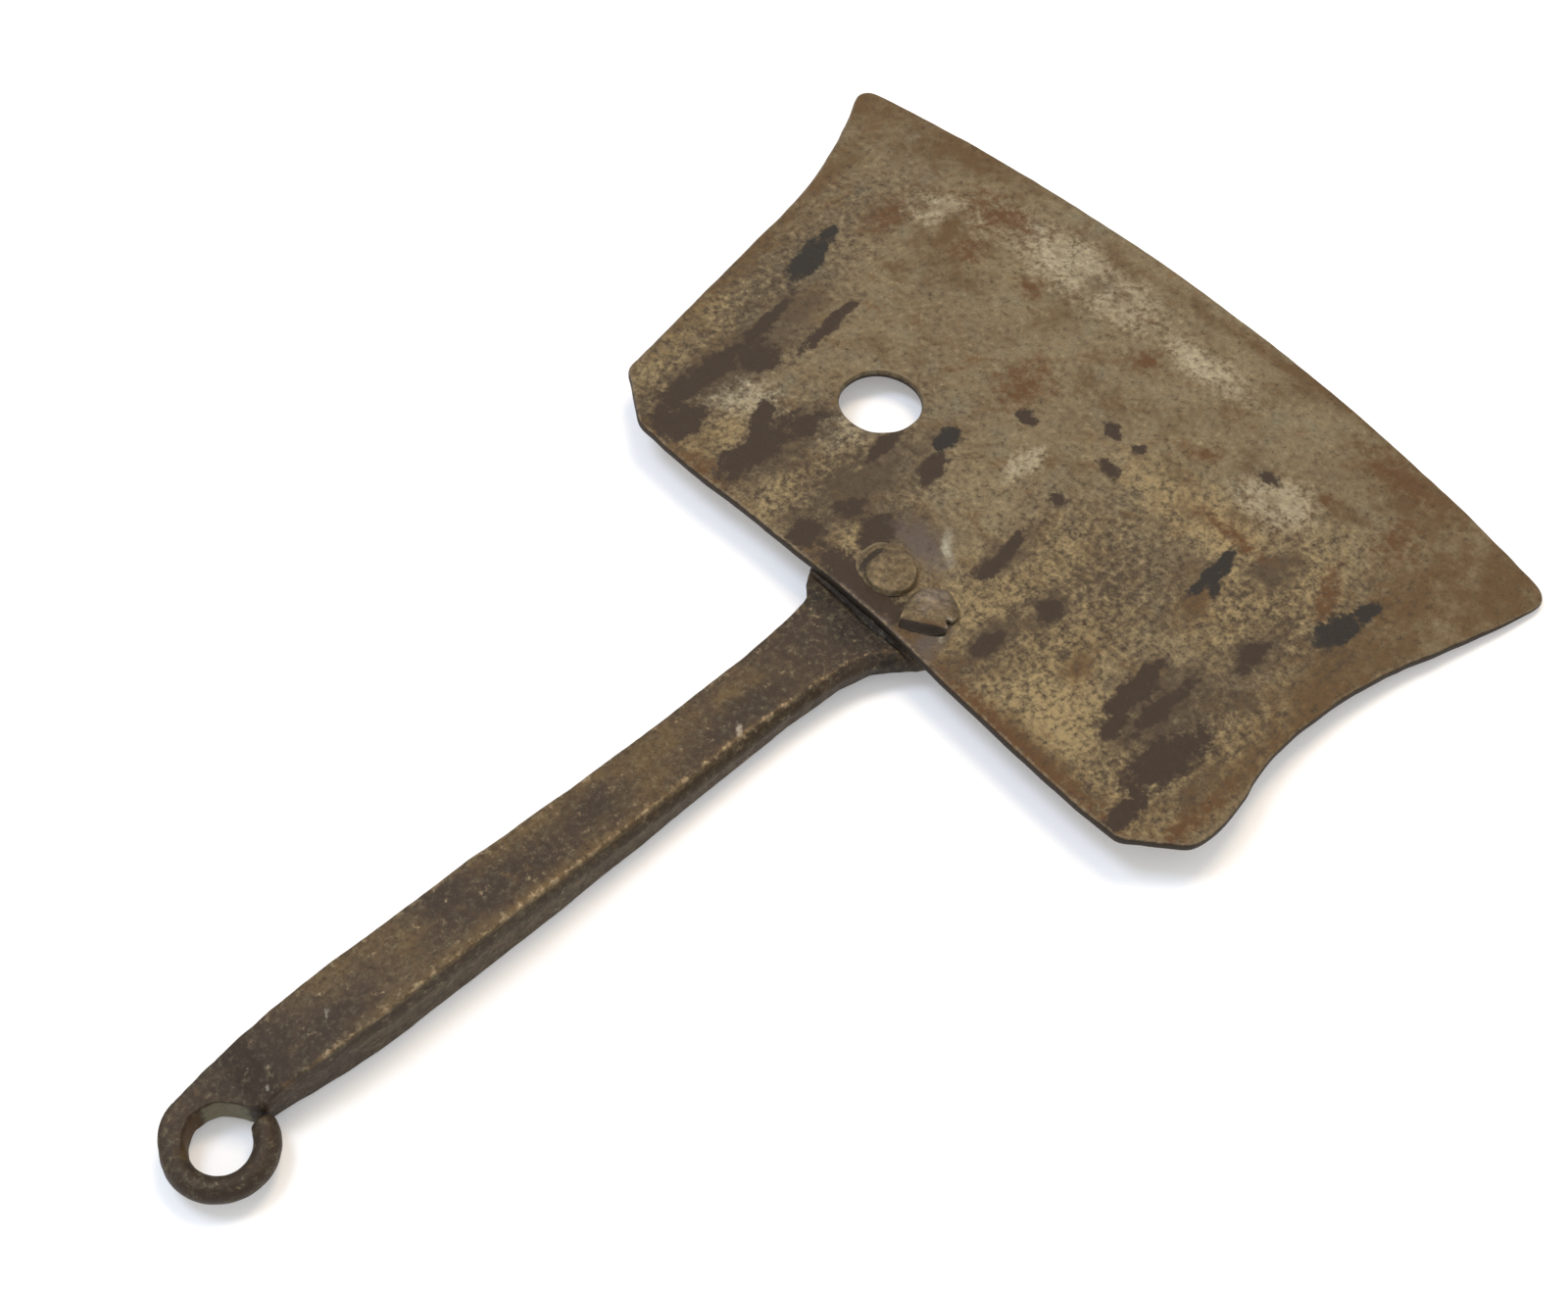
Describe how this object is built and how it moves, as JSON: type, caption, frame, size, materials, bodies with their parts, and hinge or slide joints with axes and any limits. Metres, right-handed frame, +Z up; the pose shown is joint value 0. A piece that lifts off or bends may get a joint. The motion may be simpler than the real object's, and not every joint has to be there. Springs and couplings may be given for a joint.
{
  "type": "meat cleaver",
  "caption": "Hand-forged iron chopper: wide curved blade with a round hanging hole, riveted onto the flared palm of a bar handle that ends in a rolled eye.",
  "frame": {"origin": "on the table, under the middle of the tool's box", "axes": "+X along the tool, from the handle's eye towards the cutting edge; +Y towards the blade's left horn, seen from above with the edge ahead; +Z up"},
  "size_m": [0.3522, 0.244, 0.0155],
  "materials": {
    "blade_iron": "worn forged plate, olive-brown patina with dark stains and rust",
    "handle_iron": "dark brown forge scale, rubbed lighter along its edges",
    "rivet_iron": "hammered grey-brown iron"
  },
  "bodies": {
    "root": {"blade": "blade_iron", "handle": "handle_iron", "left_rivet": "rivet_iron", "right_rivet": "rivet_iron"}
  },
  "joints": []
}
